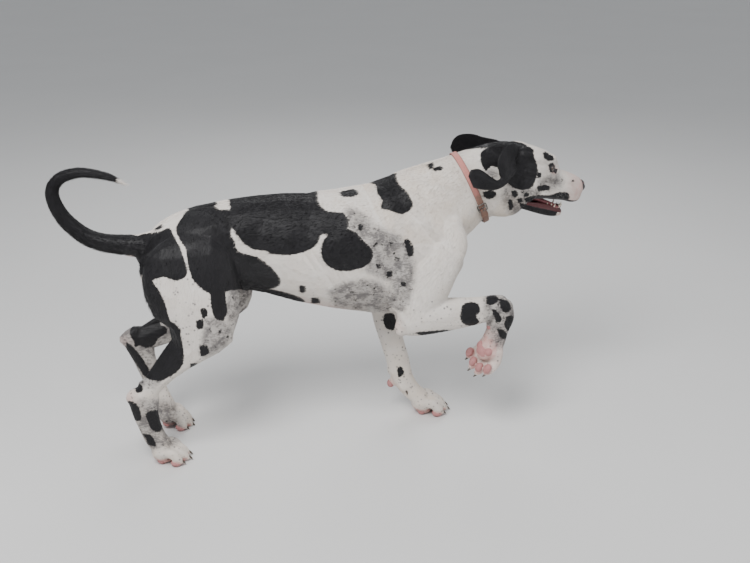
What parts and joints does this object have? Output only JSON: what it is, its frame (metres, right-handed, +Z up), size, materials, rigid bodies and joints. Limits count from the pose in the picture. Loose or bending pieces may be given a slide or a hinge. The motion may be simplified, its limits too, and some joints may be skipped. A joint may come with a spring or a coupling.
{
  "type": "great dane",
  "caption": "Still, life-size model of a young harlequin great dane in a low walk, one forepaw raised, mouth open and tail curled up, wearing a plain collar.",
  "frame": {"origin": "on the floor, under the middle of the box that holds the whole dog", "axes": "+X the way the dog walks, +Y its left side, +Z up"},
  "size_m": [1.3544, 0.2976, 0.7779],
  "materials": {
    "coat": "short, close hair, white with black patches, grey merle and ticking",
    "black_coat": "short, close, glossy black hair",
    "nose": "fine pebbled, damp",
    "eye": "wet, dark brown",
    "tongue": "moist, softly rough",
    "tooth": "smooth enamel",
    "claw": "dark horn",
    "pad": "rough pink and grey skin",
    "strap": "woven salmon-pink webbing, soiled towards the throat",
    "buckle": "dark, satin"
  },
  "bodies": {
    "root": {"torso": "coat", "neck": "coat", "head": "coat", "lower_jaw": "coat", "lower_teeth": "tooth", "tongue": "tongue", "nose": "nose", "eye_left": "eye", "eye_right": "eye", "ear_left": "black_coat", "ear_right": "black_coat", "foreleg_left_forearm": "coat", "foreleg_left_paw": "coat", "foreleg_right_forearm": "coat", "foreleg_right_paw": "coat", "hindleg_left_thigh": "coat", "hindleg_left_shin": "coat", "hindleg_left_paw": "coat", "hindleg_right_thigh": "coat", "hindleg_right_shin": "coat", "hindleg_right_paw": "coat", "tail_base": "black_coat", "tail_middle": "black_coat", "tail_tip": "black_coat", "collar": "strap", "collar_buckle": "buckle"}
  },
  "joints": []
}
